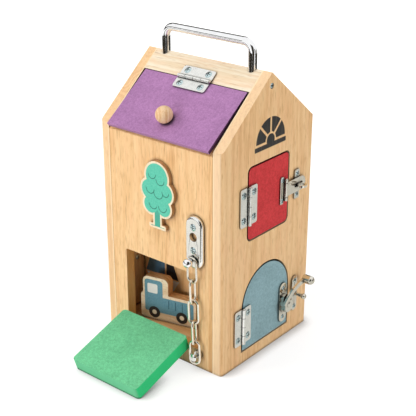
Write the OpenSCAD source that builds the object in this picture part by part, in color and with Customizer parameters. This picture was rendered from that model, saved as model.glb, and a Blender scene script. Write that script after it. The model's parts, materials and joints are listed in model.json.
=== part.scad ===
// Latch lock box: a wooden toy house with a lift-up roof lid, a drop-down front
// door with a chain, a square side door with a hasp and an arched side door with
// a lever latch. Front is -Y, the side with the two doors is +X, up is +Z.
// The origin is the centre of the underside. Millimetres.

/* [House] */
// Width of the house over both gable walls
house_w = 167; // [162:1:172]
// Depth of the house from front to back
house_d = 159; // [154:1:164]
// Height of the gable walls at the eaves
eave_h = 254.5; // [253:0.5:262]
// Height of the ridge
ridge_h = 320; // [318:1:328]
// Thickness of the gables, front, back and doors
board_t = 12; // [11.5:0.25:13]
// Thickness of the base board
base_t = 20; // [17:0.5:21]
// Thickness of the two inner floors
floor_t = 9; // [7:0.5:10]
// Underside of the lower inner floor
lower_floor_z = 116; // [114:0.5:120]
// Depth of the upper inner floor's underside below the eaves
upper_floor_drop = 22; // [20:0.5:24]
// Clear depth of the front room, from the front panel to the upright inner wall
front_room_d = 37.4; // [36:0.2:44]
// Thickness of the upright inner wall
inner_wall_t = 8; // [6:0.5:10]
// Rounding of the four upright corners
corner_r = 4; // [2:0.5:5]
// Rounding of the gables at the eaves
eave_r = 4; // [2:0.5:6]

/* [Roof] */
// Length of the fixed roof strip below the ridge, along the slope
strip_l = 28; // [26:0.2:30]
// Thickness of the roof boards
roof_t = 12; // [11:0.5:13]
// Reach of the lid past the eaves, along the slope
lid_over = 2.8; // [1.5:0.1:4]
// Thickness of the lid
lid_t = 4; // [3.5:0.5:6]
// Gap between the lid and each gable
lid_side_gap = 2.3; // [1.5:0.1:3.5]
// Angle by which the lid lies flatter than the gable slope
lid_rise = 3; // [2:0.25:4]
// Gap between the lid's underside and the front wall's top edge
lid_rest_gap = 4.4; // [3.8:0.1:5]
// Diameter of the ball knob on the lid
knob_d = 18.5; // [18:0.5:22]
// Place of the knob down the lid, as a share of the lid's length
knob_share = 0.705; // [0.6:0.005:0.75]
// Distance between the handle's two legs
handle_span = 117; // [107:1:120]
// Height of the handle bar's centre above the ridge
handle_rise = 26.5; // [23:0.5:30]
// Diameter of the handle rod
handle_rod_d = 9; // [8:0.25:10]
// Bend radius of the handle rod's centre line
handle_bend_r = 11; // [9:0.5:14]
// Depth of the handle legs in the ridge beam
handle_sink = 9; // [7:0.5:10]

/* [Hinges] */
// Length of a butt hinge along its pin
hinge_h = 43; // [40:0.5:46]
// Reach of a leaf from the pin's axis
leaf_w = 14; // [13:0.25:15]
// Thickness of a leaf
leaf_t = 1.5; // [1.25:0.05:1.7]
// Outer radius of the knuckles
barrel_r = 2.2; // [2:0.05:2.3]
// Radius of the hinge pins
pin_r = 1.1; // [0.9:0.05:1.2]
// Distance between the two screws of a leaf
leaf_screw_pitch = 28; // [26:0.5:30]
// Distance of the leaf screws from the pin's axis
leaf_screw_off = 8.6; // [8:0.1:9.4]

/* [Screws] */
// Radius of the domed screw heads
head_r = 2.9; // [2.6:0.1:3]
// Height of the domed screw heads
head_h = 1.1; // [0.9:0.1:1.3]
// Radius of the larger screw heads on the chain plate and the hinges
plate_head_r = 4; // [3.4:0.1:4.4]
// Radius of the screw shanks
shank_r = 1.3; // [1.1:0.1:1.5]
// Length of the screw shanks under the head
shank_l = 7.5; // [6:0.5:8]

/* [Drop door] */
// Left edge of the front opening
open_x0 = -52; // [-54:0.5:-50]
// Right edge of the front opening
open_x1 = 51.5; // [51:0.25:53]
// Sill height of the front opening
open_z0 = 22.75; // [22.55:0.05:24]
// Top of the front opening
open_z1 = 112.5; // [110:0.5:113.5]
// Rounding of the front opening's corners
open_r = 1.5; // [1:0.25:3]
// Gap between the drop door and the opening on the chain's side
drop_side = 7.4; // [7.3:0.1:8.5]
// Gap round the drop door
door_gap = 1.5; // [1.3:0.1:2]
// Thickness of the drop door
drop_t = 15; // [12:0.5:16]
// Rounding of the drop door's corners
drop_r = 4; // [3:0.5:9]

/* [Chain] */
// Distance of the chain plate's centre inside the opening's right edge
plate_in = 2; // [1.5:0.1:2.2]
// Height of the chain plate's centre
plate_z = 151; // [150:0.5:154]
// Width of the chain plate
plate_w = 22.6; // [21:0.2:24]
// Length of the chain plate
plate_l = 60; // [58:0.5:62]
// Depth of the chain plate from the wall
plate_t = 5; // [4.8:0.1:5.2]
// Radius of the ball on the chain stud
ball_r = 5.3; // [4.8:0.1:5.6]
// Radius of the chain stud's neck
neck_r = 1.5; // [1.3:0.05:1.6]
// Travel of the stud in its slot
stud_travel = 4; // [3:0.25:4]
// Spare length of the chain over the stud's travel
chain_spare = 1.6; // [1.2:0.1:2.5]
// Width of a chain link
link_w = 13.6; // [13:0.1:13.7]
// Wire diameter of a chain link
wire_d = 2.8; // [2.5:0.05:2.85]
// Distance of the chain's lower anchor outside the opening's right edge
anchor_out = 1.8; // [1.7:0.1:2.5]
// Turn of the lower links about the chain's own line
chain_twist = 20; // [10:1:22]
// Height of the chain's lower anchor
anchor_z = 18; // [17.5:0.1:18]

/* [Square door] */
// Gap round each of the two side doors
side_gap = 2.1; // [1.7:0.1:2.4]
// Hinge-side edge of the square door
square_y0 = -36; // [-37:0.1:-35]
// Free edge of the square door
square_y1 = 33.5; // [33:0.1:34.5]
// Bottom edge of the square door
square_z0 = 146.5; // [144:0.5:148]
// Top edge of the square door
square_z1 = 226.5; // [225:0.5:228]
// Corner rounding of the square door
square_r = 5; // [3:0.5:7]
// Height of the hasp's centre
hasp_z = 184.7; // [182:0.1:188]
// Position of the hasp's pin
hasp_y = 27; // [26.5:0.1:27.5]
// Position of the swivel staple
staple_y = 49; // [48.5:0.1:49.5]
// Height of the hasp leaf
hasp_h = 16; // [15:0.25:16.5]
// Reach of the hasp leaf past the staple
hasp_tip = 14; // [13:0.25:16]

/* [Arched door] */
// Hinge-side edge of the arched door
arch_y0 = -43; // [-44:0.1:-42.5]
// Free edge of the arched door
arch_y1 = 39.2; // [38.7:0.1:39.9]
// Bottom edge of the arched door
arch_z0 = 16; // [14:0.5:18]
// Top of the arch
arch_z1 = 107.1; // [105:0.1:109]
// Height of the arched door's hinge
arch_hinge_z = 47.5; // [44:0.5:50]
// Position of the latch lever's pivot
latch_y = 29.5; // [29.1:0.1:29.9]
// Height of the latch lever's pivot
latch_z = 46; // [45:0.25:47]
// Distance of the latch post from the lever's pivot
keeper_out = 22.4; // [22:0.1:23]

/* [Plaque and play block] */
// Width of the tree plaque's crown
plaque_w = 47; // [44:0.5:50]
// Height of the tree plaque
plaque_h = 76; // [72:0.5:78]
// Thickness of the tree plaque
plaque_t = 4.5; // [4:0.25:6]
// How far the tree plaque's foot lies below the eave
plaque_drop = 101.5; // [100:0.5:105]
// Length of the play block
block_l = 70; // [62:0.5:70]
// Height of the play block
block_h = 54; // [50:0.5:58]
// Thickness of the play block
block_t = 12; // [10:0.25:12]
// Turn of the play block about the vertical
block_turn = 14; // [10:0.5:14]

/* [Hidden] */
$fn = 48;
// Half sizes of the house and its inside faces
hw = house_w / 2;
hd = house_d / 2;
in_x = hw - board_t;
in_y = hd - board_t;
upper_floor_z = eave_h - upper_floor_drop;
inner_wall_y = -in_y + front_room_d;
// Roof slope, its length and the thickness of a roof board measured straight down
roof_a = atan((ridge_h - eave_h) / hd);
slope_l = hd / cos(roof_a);
roof_drop = roof_t / cos(roof_a);
// Where the rounding at the eaves touches the wall and the slope
eave_t = eave_r * tan((90 - roof_a) / 2);
eave_low = [hd, eave_h - eave_t];
eave_high = [hd - eave_t * cos(roof_a), eave_h + eave_t * sin(roof_a)];
// Height of every hinge pin's axis over the surface that the leaves lie on
pin_z = barrel_r + 0.3;
// Running clearance of a pin, gap between knuckles, clearance of a screw
run_c = 0.05;
knuckle_gap = 0.45;
knuckle_count = 4;
hole_c = 0.05;
eps = 0.01;
// Lid hinge axis: along the slope from the ridge
lid_gap = 0.8;
lid_axis_s = strip_l + lid_gap / 2;
// Wood left under the lid's hinge screws, and the length of their shanks
lid_skin = 1;
lid_shank_l = min(shank_l, leaf_t + lid_t - lid_skin);
lid_l = slope_l - strip_l - lid_gap + lid_over;
knob_s = knob_share * lid_l;
lid_a = roof_a - lid_rise;
lid_axis_y = -lid_axis_s * cos(roof_a) - pin_z * sin(roof_a);
lid_axis_z = ridge_h - lid_axis_s * sin(roof_a) + pin_z * cos(roof_a);
// One point of the lid's underside, then its height at any y
under = pin_z + lid_t + lid_rest_gap;
under_y = lid_axis_y + under * sin(lid_a);
under_z = lid_axis_z - under * cos(lid_a);
function lid_under(y) = under_z + (y - under_y) * tan(lid_a);
// Drop door: hinge axis, size when shut, and the angle at which its end meets the ground
drop_axis_z = open_z0 + door_gap / 2;
drop_x0 = open_x0 + door_gap;
drop_x1 = open_x1 - drop_side;
drop_cx = (drop_x0 + drop_x1) / 2;
// Reach from the axis to the door's free end, so that its inner edge swings clear of the lintel
drop_top_c = 0.3;
drop_edge = pin_z + drop_t;
drop_arc = open_z1 - drop_axis_z - drop_top_c;
drop_tip = min(open_z1 - door_gap - drop_axis_z, sqrt(drop_arc * drop_arc - drop_edge * drop_edge));
drop_l = drop_tip - door_gap / 2;
ground_c = 0.05;
drop_swing = hypot2(pin_z, drop_tip);
drop_a = 180 + asin((drop_axis_z - ground_c) / drop_swing) - atan2(drop_tip, pin_z);
function hypot2(a, b) = sqrt(a * a + b * b);
// Chain: stud, plane of the chain, pitch and slant
plate_screw_up = 18;
plate_screw_low = -8.2;
plate_hole_up = 7;
plate_hole_r = 4.9;
stud_drop = -19;
stud_z = plate_z + stud_drop;
plate_x = open_x1 - plate_in;
anchor_x = open_x1 + anchor_out;
link_c = (link_w - wire_d) / 2;
link_back_c = 0.35;
first_turn = 0.3;
next_turn = 0.35;
function link_turn(n) = min(1, first_turn + next_turn * (n - 1)) * chain_twist;
chain_off = plate_t + link_back_c + wire_d / 2 + link_c * sin(link_turn(1));
ball_off = chain_off + wire_d / 2 + ball_r - 0.3;
link_gap = 0.3;
link_top = neck_r + link_gap / 2 + wire_d;
chain_slant = atan2(anchor_x - plate_x, stud_z - anchor_z);
chain_span = hypot2(anchor_x - plate_x, stud_z - anchor_z);
link_count = 5;
link_lap = 2 * wire_d + link_gap;
chain_l = chain_span + neck_r + stud_travel + chain_spare + link_top + wire_d;
link_l = (chain_l + (link_count - 1) * link_lap) / link_count;
link_straight = link_l - link_w;
link_pitch = link_l - link_lap;
// Square door and arched door: middles and hinge axes
square_cy = (square_y0 + square_y1) / 2;
square_cz = (square_z0 + square_z1) / 2;
square_axis_y = square_y0 - side_gap / 2;
arch_cy = (arch_y0 + arch_y1) / 2;
arch_rad = (arch_y1 - arch_y0) / 2;
arch_axis_y = arch_y0 - side_gap / 2;
// Hasp: base strip, slot and staple
hasp_base_h = 31.5;
hasp_base_w = 8.4;
hasp_screw_pitch = hasp_h + 2 * head_r + 2.6;
hasp_screw_off = barrel_r + head_r + 0.15;
hasp_reach = staple_y - hasp_y + hasp_tip;
slot_in = staple_y - hasp_y - 6.8;
slot_out = staple_y - hasp_y + 8.5;
slot_w = 4.4;
staple_plate_w = 9;
staple_plate_h = 34;
staple_neck_r = 1.8;
staple_ring_r = 5.2;
staple_hole_r = 2.8;
staple_ring_t = 2.6;
staple_ring_off = 8.6;
collar_r = 3;
collar_t = 1.2;
// Latch: base, lever and post
latch_base_w = 13;
latch_base_h = 49;
latch_base_t = 1.8;
latch_screw = 18.2;
hub_r = 6;
hub_top = 7.4;
lever_off = 7.7;
lever_t = 2.5;
rivet_r = 2;
rivet_head_r = 3.2;
lever_disc_x = 0.2;
lever_disc_y = -2.2;
lever_disc_r = 7.2;
arm_cx = 31.25;
arm_cy = -29.15;
arm_rad = 47.7;
arm_w = 5.4;
finger_x = 32.5;
finger_y = 19.5;
finger_r = 5.2;
finger_l = 8.3;
keeper_w = 10;
keeper_h = 44;
keeper_t = 1.8;
keeper_screw = 16.8;
keeper_y = latch_y + keeper_out;
keeper_z = latch_z + 2.6;
post_r = 2.2;
post_ball_r = 3.4;
post_ball_off = 14.5;
// Play block's place on the ground floor
block_x = -16;
block_y = inner_wall_y - front_room_d / 2 + 1.3;

// Flat shapes

module rrect(w, h, r)
{
    square([w - 2 * r, h], center = true);
    square([w, h - 2 * r], center = true);
    for (sx = [-1, 1])
        for (sy = [-1, 1])
            translate([sx * (w / 2 - r), sy * (h / 2 - r)])
                circle(r);
}

module obround(w, h)
{
    square([w, h - w], center = true);
    for (s = [-1, 1])
        translate([0, s * (h - w) / 2])
            circle(w / 2);
}

module arch_2d(w, h)
{
    translate([-w / 2, 0])
        square([w, h - w / 2]);
    translate([0, h - w / 2])
        circle(w / 2);
}

// Places: x and y run over the face, z stands out of it

module on_front(x, z)
{
    translate([x, -hd, z])
        rotate([90, 0, 0])
            children();
}

module on_side(y, z)
{
    translate([hw, y, z])
        rotate([90, 0, 90])
            children();
}

module on_slope(s)
{
    translate([0, 0, ridge_h])
        rotate([roof_a, 0, 0])
            translate([0, -s, 0])
                children();
}

// The lid's own place: its hinge axis, turned up by its rise
module on_lid()
{
    translate([0, lid_axis_y, lid_axis_z])
        rotate([lid_a, 0, 0])
            translate([0, 0, -pin_z])
                children();
}

// The drop door's own place, turned down from shut to the ground about its hinge axis
module on_drop()
{
    translate([drop_cx, -hd - pin_z, drop_axis_z])
        rotate([drop_a, 0, 0])
            rotate([90, 0, 0])
                translate([0, 0, -pin_z])
                    children();
}

// Screws: the seat is z = 0, the head above it, with a cross cut in it

cross_share = 1.3;
cross_w = 0.95;

module dome(r, h)
{
    ball = (r * r + h * h) / (2 * h);
    intersection() {
        translate([0, 0, h - ball])
            sphere(ball);
        cylinder(r = r + 1, h = h + 1);
    }
}

module screw(r = head_r, l = shank_l)
{
    difference() {
        dome(r, head_h);
        for (a = [0, 90])
            rotate([0, 0, a])
                translate([0, 0, head_h])
                    cube([r * cross_share, cross_w, head_h * 1.2], center = true);
    }
    translate([0, 0, -l])
        cylinder(r = shank_r, h = l + eps);
}

// Hole for a screw through a plate of the given thickness and into the board under it
module pilot(plate, l = shank_l)
{
    deep = l - plate + 0.5;
    translate([0, 0, -deep])
        cylinder(r = shank_r + hole_c, h = deep + 1);
}

hole_l = 12;

module plate_hole()
{
    translate([0, 0, -1])
        cylinder(r = shank_r + hole_c, h = hole_l);
}

// Butt hinge lying open on z = 0: pin along y, fixed leaf on -x, moving leaf on +x

module leaf_2d()
{
    r = 2.5;
    x0 = barrel_r + knuckle_gap;
    difference() {
        union() {
            translate([x0, -hinge_h / 2])
                square([leaf_w - r - x0, hinge_h]);
            translate([leaf_w - r - eps, -hinge_h / 2 + r])
                square([r + eps, hinge_h - 2 * r]);
            for (s = [-1, 1])
                translate([leaf_w - r, s * (hinge_h / 2 - r)])
                    circle(r);
        }
        for (s = [-1, 1])
            translate([leaf_screw_off, s * leaf_screw_pitch / 2])
                circle(shank_r + hole_c);
    }
}

module knuckle(y0, y1, reach, low, high)
{
    translate([0, y1, 0])
        rotate([90, 0, 0])
            linear_extrude(y1 - y0)
                difference() {
                    union() {
                        translate([0, pin_z])
                            circle(barrel_r);
                        translate([0, low])
                            square([reach, high - low]);
                    }
                    translate([0, pin_z])
                        circle(pin_r + run_c);
                }
}

// A leaf with every second knuckle of the barrel, from the first one that is its own
module leaf(first)
{
    share = hinge_h / knuckle_count;
    low = pin_z - barrel_r;
    reach = barrel_r + knuckle_gap + 0.2;
    linear_extrude(leaf_t)
        leaf_2d();
    for (k = [first:2:knuckle_count - 1])
        translate([0, (k + 0.5) * share - hinge_h / 2, 0])
            knuckle(-(share - knuckle_gap) / 2, (share - knuckle_gap) / 2, reach, low, leaf_t);
}

module fixed_leaf()
{
    mirror([1, 0, 0])
        leaf(1);
}

module moving_leaf()
{
    leaf(0);
}

module pin(length)
{
    cap = 0.7;
    translate([0, length / 2, pin_z])
        rotate([90, 0, 0])
            cylinder(r = pin_r, h = length);
    for (s = [-1, 1])
        translate([0, s * length / 2, pin_z])
            rotate([s * -90, 0, 0])
                dome(pin_r + 0.6, cap);
}

module at_leaf_screws(side)
{
    for (s = [-1, 1])
        translate([side * leaf_screw_off, s * leaf_screw_pitch / 2, 0])
            children();
}

module leaf_screws(side, l = shank_l)
{
    at_leaf_screws(side)
        translate([0, 0, leaf_t])
            screw(plate_head_r, l);
}

module leaf_pilots(side, l = shank_l)
{
    at_leaf_screws(side)
        pilot(leaf_t, l);
}

// The four hinges in their places

module lid_hinge_place()
{
    on_slope(lid_axis_s)
        rotate([0, 0, -90])
            children();
}

module lid_hinge_moved_place()
{
    on_lid()
        rotate([0, 0, -90])
            children();
}

module drop_hinge_place()
{
    on_front(drop_cx, drop_axis_z)
        rotate([0, 0, 90])
            children();
}

module drop_hinge_moved_place()
{
    on_drop()
        rotate([0, 0, 90])
            children();
}

module square_hinge_place()
{
    on_side(square_axis_y, square_cz)
        children();
}

module arch_hinge_place()
{
    on_side(arch_axis_y, arch_hinge_z)
        children();
}

// Screw places of the small plates

module at_chain_plate_screws()
{
    for (y = [plate_screw_low, plate_screw_up])
        on_front(plate_x, plate_z + y)
            children();
}

module at_staple_screws()
{
    for (s = [-1, 1])
        on_side(staple_y, hasp_z + s * hasp_screw_pitch / 2)
            children();
}

module at_keeper_screws()
{
    for (s = [-1, 1])
        on_side(keeper_y, keeper_z + s * keeper_screw)
            children();
}

module at_hasp_screws()
{
    for (s = [-1, 1])
        on_side(hasp_y - hasp_screw_off, hasp_z + s * hasp_screw_pitch / 2)
            children();
}

module at_latch_screws()
{
    for (s = [-1, 1])
        on_side(latch_y, latch_z + s * latch_screw)
            children();
}

// Wooden shell

apex_screw_drop = 14;
apex_head_r = 3.2;
apex_seat = 0.8;
apex_screw_l = hw - apex_seat - handle_span / 2 - handle_rod_d / 2 - 1.2;
inside_screw_in = 25.6;
inside_screw_y = -in_y + inside_screw_in;
inside_screw_z = 80.7;

module gable_2d()
{
    polygon([[-hd, 0], [hd, 0], eave_low, eave_high, [0, ridge_h],
             [-eave_high.x, eave_high.y], [-eave_low.x, eave_low.y]]);
    for (s = [-1, 1])
        translate([s * (hd - eave_r), eave_h - eave_t])
            circle(eave_r);
}

module gable_blank(side)
{
    intersection() {
        translate([side > 0 ? in_x : -hw, 0, 0])
            rotate([90, 0, 90])
                linear_extrude(board_t)
                    gable_2d();
        linear_extrude(ridge_h + 1)
            rrect(house_w, house_d, corner_r);
    }
}

module apex_bore(side)
{
    translate([side * (hw + 1), 0, ridge_h - apex_screw_drop])
        rotate([0, side * -90, 0])
            cylinder(r = shank_r + hole_c, h = apex_screw_l + apex_seat + 1.5);
    translate([side * (hw + 1), 0, ridge_h - apex_screw_drop])
        rotate([0, side * -90, 0])
            cylinder(r = apex_head_r + hole_c, h = apex_seat + 1);
}

// Place of the small screw on the left gable's inner face
module inside_screw_place()
{
    translate([-in_x, inside_screw_y, inside_screw_z])
        rotate([0, 90, 0])
            children();
}

module left_gable()
{
    color([0.86, 0.66, 0.42])
        difference() {
            gable_blank(-1);
            apex_bore(-1);
            inside_screw_place()
                pilot(0);
        }
}

module right_gable()
{
    color([0.86, 0.66, 0.42])
        difference() {
            gable_blank(1);
            apex_bore(1);
            on_side(square_cy, square_cz)
                translate([0, 0, -board_t - 1])
                    linear_extrude(board_t + 2)
                        rrect(square_y1 - square_y0 + 2 * side_gap,
                              square_z1 - square_z0 + 2 * side_gap, square_r + side_gap);
            on_side(arch_cy, arch_z0 - side_gap)
                translate([0, 0, -board_t - 1])
                    linear_extrude(board_t + 2)
                        arch_2d(2 * (arch_rad + side_gap), arch_z1 - arch_z0 + 2 * side_gap);
            square_hinge_place()
                leaf_pilots(-1);
            arch_hinge_place()
                leaf_pilots(-1);
            at_staple_screws()
                pilot(leaf_t);
            at_keeper_screws()
                pilot(keeper_t);
            on_side(staple_y, hasp_z)
                translate([0, 0, -collar_t - 0.6])
                    cylinder(r = collar_r + 0.5, h = collar_t + 1.6);
        }
}

module front_panel()
{
    color([0.88, 0.69, 0.45])
        difference() {
            translate([-in_x, 0, 0])
                rotate([90, 0, 90])
                    linear_extrude(2 * in_x)
                        polygon([[-hd, 0], [-in_y, 0], [-in_y, lid_under(-in_y)], [-hd, lid_under(-hd)]]);
            on_front((open_x0 + open_x1) / 2, (open_z0 + open_z1) / 2)
                translate([0, 0, -board_t - 1])
                    linear_extrude(board_t + 2)
                        rrect(open_x1 - open_x0, open_z1 - open_z0, open_r);
            drop_hinge_place()
                leaf_pilots(-1);
            at_chain_plate_screws()
                pilot(plate_t);
            on_front(anchor_x, anchor_z)
                pilot(0);
        }
}

module back_panel()
{
    color([0.86, 0.66, 0.42])
        translate([-in_x, 0, 0])
            rotate([90, 0, 90])
                linear_extrude(2 * in_x)
                    polygon([[in_y, 0], [hd, 0], [hd, eave_h - roof_drop],
                             [in_y, eave_h - roof_drop + board_t * tan(roof_a)]]);
}

module base_board()
{
    color([0.84, 0.64, 0.4])
        translate([-in_x, -in_y, 0])
            cube([2 * in_x, 2 * in_y, base_t]);
}

module lower_floor()
{
    color([0.84, 0.64, 0.4])
        translate([-in_x, -in_y, lower_floor_z])
            cube([2 * in_x, 2 * in_y, floor_t]);
}

module upper_floor()
{
    color([0.84, 0.64, 0.4])
        translate([-in_x, -in_y, upper_floor_z])
            cube([2 * in_x, 2 * in_y, floor_t]);
}

module inner_wall()
{
    color([0.86, 0.67, 0.44])
        translate([-in_x, inner_wall_y, base_t])
            cube([2 * in_x, inner_wall_t, lower_floor_z - base_t]);
}

module ridge_beam()
{
    py = strip_l * cos(roof_a);
    pz = ridge_h - strip_l * sin(roof_a);
    qy = py - roof_t * sin(roof_a);
    qz = pz - roof_t * cos(roof_a);
    color([0.87, 0.67, 0.43])
        difference() {
            translate([-in_x, 0, 0])
                rotate([90, 0, 90])
                    linear_extrude(2 * in_x)
                        polygon([[0, ridge_h], [-py, pz], [-qy, qz], [qy, qz], [py, pz]]);
            for (s = [-1, 1]) {
                apex_bore(s);
                translate([s * handle_span / 2, 0, ridge_h - handle_sink])
                    cylinder(r = handle_rod_d / 2 + hole_c, h = handle_sink + 1);
                translate([s * handle_span / 2, 0, qz - 1])
                    cylinder(r = shank_r + hole_c, h = ridge_h - qz);
            }
            lid_hinge_place()
                leaf_pilots(-1);
        }
}

module rear_roof_panel()
{
    py = strip_l * cos(roof_a);
    pz = ridge_h - strip_l * sin(roof_a);
    color([0.86, 0.66, 0.42])
        translate([-in_x, 0, 0])
            rotate([90, 0, 90])
                linear_extrude(2 * in_x) {
                    polygon([[py, pz], eave_high, eave_low, [hd, eave_h - roof_drop],
                             [py - roof_t * sin(roof_a), pz - roof_t * cos(roof_a)]]);
                    translate([hd - eave_r, eave_h - eave_t])
                        circle(eave_r);
                }
}

module gable_screws()
{
    color([0.72, 0.74, 0.77])
        for (s = [-1, 1])
            translate([s * (hw - apex_seat), 0, ridge_h - apex_screw_drop])
                rotate([0, s * 90, 0]) {
                    difference() {
                        dome(apex_head_r, 1.1);
                        for (a = [0, 90])
                            rotate([0, 0, a])
                                translate([0, 0, 1.1])
                                    cube([3.6, 0.8, 1.3], center = true);
                    }
                    translate([0, 0, -apex_screw_l])
                        cylinder(r = shank_r, h = apex_screw_l + eps);
                }
    color([0.72, 0.74, 0.77])
        inside_screw_place()
            screw();
}

// How far the handle's screws reach up into its legs, and how much deeper their holes are
handle_bite = 10;
bite_room = 3;

module carry_handle()
{
    r = handle_rod_d / 2;
    top = ridge_h + handle_rise;
    leg_top = top - handle_bend_r;
    leg_low = ridge_h - handle_sink;
    bar = handle_span - 2 * handle_bend_r;
    color([0.78, 0.79, 0.8]) {
        difference() {
            for (s = [-1, 1])
                translate([s * handle_span / 2, 0, leg_low])
                    cylinder(r = r, h = leg_top - leg_low);
            for (s = [-1, 1])
                translate([s * handle_span / 2, 0, leg_low - 1])
                    cylinder(r = shank_r + hole_c, h = handle_bite + bite_room);
        }
        translate([-bar / 2, 0, top])
            rotate([0, 90, 0])
                cylinder(r = r, h = bar);
        for (s = [0, 1])
            mirror([s, 0, 0])
                translate([bar / 2, 0, leg_top])
                    rotate([90, 0, 0])
                        rotate_extrude(angle = 90)
                            translate([handle_bend_r, 0])
                                circle(r);
    }
}

module handle_screws()
{
    qz = ridge_h - strip_l * sin(roof_a) - roof_t * cos(roof_a);
    reach = ridge_h - qz - handle_sink + handle_bite;
    color([0.72, 0.74, 0.77])
        for (s = [-1, 1])
            translate([s * handle_span / 2, 0, qz])
                rotate([180, 0, 0]) {
                    dome(apex_head_r, 2);
                    translate([0, 0, -reach])
                        cylinder(r = shank_r, h = reach + eps);
                }
}

// Roof lid

lid_w = 2 * in_x - 2 * lid_side_gap;
knob_foot_r = 4.2;
knob_screw_l = 14;

module roof_lid()
{
    color([0.42, 0.2, 0.5])
        difference() {
            on_lid()
                translate([-lid_w / 2, -lid_gap / 2 - lid_l, -lid_t])
                    cube([lid_w, lid_l, lid_t]);
            lid_hinge_moved_place()
                leaf_pilots(1, lid_shank_l);
            on_lid()
                translate([0, -knob_s, -lid_t - 1])
                    cylinder(r = shank_r + hole_c, h = lid_t + 2);
        }
}

module lid_knob()
{
    color([0.87, 0.68, 0.43])
        on_lid()
            translate([0, -knob_s, 0])
                difference() {
                    intersection() {
                        translate([0, 0, sqrt(knob_d * knob_d / 4 - knob_foot_r * knob_foot_r)])
                            sphere(knob_d / 2);
                        cylinder(r = knob_d, h = 2 * knob_d);
                    }
                    translate([0, 0, -1])
                        cylinder(r = shank_r + hole_c, h = knob_screw_l - lid_t + 2);
                }
}

module knob_screw()
{
    color([0.72, 0.74, 0.77])
        on_lid()
            translate([0, -knob_s, -lid_t])
                rotate([180, 0, 0]) {
                    dome(apex_head_r, 1.8);
                    translate([0, 0, -knob_screw_l])
                        cylinder(r = shank_r, h = knob_screw_l + eps);
                }
}

module lid_hinge_fixed_leaf()
{
    color([0.75, 0.76, 0.78])
        lid_hinge_place()
            fixed_leaf();
}

module lid_hinge_moving_leaf()
{
    color([0.75, 0.76, 0.78])
        lid_hinge_moved_place()
            moving_leaf();
}

module lid_hinge_pin()
{
    color([0.7, 0.71, 0.73])
        lid_hinge_place()
            pin(hinge_h);
}

module lid_hinge_moving_screws()
{
    color([0.72, 0.74, 0.77])
        lid_hinge_moved_place()
            leaf_screws(1, lid_shank_l);
}

// Drop-down front door

module drop_door()
{
    w = drop_x1 - drop_x0;
    color([0.36, 0.74, 0.5])
        difference() {
            on_drop()
                translate([0, (door_gap + drop_l) / 2, -drop_t])
                    linear_extrude(drop_t)
                        rrect(w, drop_l, drop_r);
            drop_hinge_moved_place()
                leaf_pilots(1);
        }
}

module drop_hinge_fixed_leaf()
{
    color([0.75, 0.76, 0.78])
        drop_hinge_place()
            fixed_leaf();
}

module drop_hinge_moving_leaf()
{
    color([0.75, 0.76, 0.78])
        drop_hinge_moved_place()
            moving_leaf();
}

module drop_hinge_pin()
{
    color([0.7, 0.71, 0.73])
        drop_hinge_place()
            pin(hinge_h);
}

module drop_hinge_moving_screws()
{
    color([0.72, 0.74, 0.77])
        drop_hinge_moved_place()
            leaf_screws(1);
}

// Chain, its slotted plate and its anchor

flange_r = 3.2;
face_t = 1.6;
flange_t = plate_t - face_t - 0.8;
plate_round = 3.6;

module stud_path(r)
{
    for (d = [0, stud_travel])
        translate([0, stud_drop + d])
            circle(r);
    translate([-r, stud_drop])
        square([2 * r, stud_travel]);
}

// Half section of the plate, with its outer edge rolled over
module plate_half()
{
    w = plate_w / 2;
    square([w, plate_t - plate_round]);
    square([w - plate_round, plate_t]);
    translate([w - plate_round, plate_t - plate_round])
        intersection() {
            circle(plate_round);
            square(plate_round + 1);
        }
}

module pressed_plate()
{
    straight = plate_l - plate_w;
    for (s = [0, 1])
        mirror([0, s, 0])
            translate([0, straight / 2, 0])
                rotate_extrude(angle = 180)
                    plate_half();
    for (s = [0, 1])
        mirror([s, 0, 0])
            translate([0, straight / 2, 0])
                rotate([90, 0, 0])
                    linear_extrude(straight)
                        plate_half();
}

module chain_plate()
{
    color([0.78, 0.79, 0.8])
        on_front(plate_x, plate_z)
            difference() {
                pressed_plate();
                translate([0, plate_hole_up, -1])
                    cylinder(r = plate_hole_r, h = plate_t + 2);
                for (y = [plate_screw_low, plate_screw_up])
                    translate([0, y, 0])
                        plate_hole();
                translate([0, 0, -1])
                    linear_extrude(plate_t + 2)
                        stud_path(neck_r + 0.15);
                translate([0, 0, -1])
                    linear_extrude(plate_t - face_t + 1)
                        stud_path(flange_r + 0.3);
            }
}

module chain_stud()
{
    color([0.8, 0.81, 0.82])
        on_front(plate_x, stud_z) {
            translate([0, 0, plate_t - face_t - 0.4 - flange_t])
                cylinder(r = flange_r, h = flange_t);
            translate([0, 0, plate_t - face_t - 0.5])
                cylinder(r = neck_r, h = ball_off - plate_t + face_t + 0.5);
            translate([0, 0, ball_off])
                sphere(ball_r);
        }
}

module link()
{
    for (s = [-1, 1])
        translate([s * link_c, 0, -link_straight / 2])
            cylinder(r = wire_d / 2, h = link_straight);
    for (s = [-1, 1])
        translate([0, 0, s * link_straight / 2])
            rotate([s * 90, 0, 0])
                rotate_extrude(angle = 180)
                    translate([link_c, 0])
                        circle(wire_d / 2);
}

module chain_link(n)
{
    color([0.76, 0.77, 0.79])
        translate([plate_x, -hd - chain_off, stud_z])
            rotate([0, -chain_slant, 0])
                translate([0, 0, link_top - link_l / 2 - (n - 1) * link_pitch])
                    rotate([0, 0, (n % 2 == 1 ? 0 : 90) + link_turn(n)])
                        link();
}

module chain_link_1()
{
    chain_link(1);
}

module chain_link_2()
{
    chain_link(2);
}

module chain_link_3()
{
    chain_link(3);
}

module chain_link_4()
{
    chain_link(4);
}

module chain_link_5()
{
    chain_link(5);
}

anchor_c = 0.4;
anchor_boss_r = 4.4;
anchor_head_r = 4.4;
anchor_head_h = 2.2;

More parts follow.
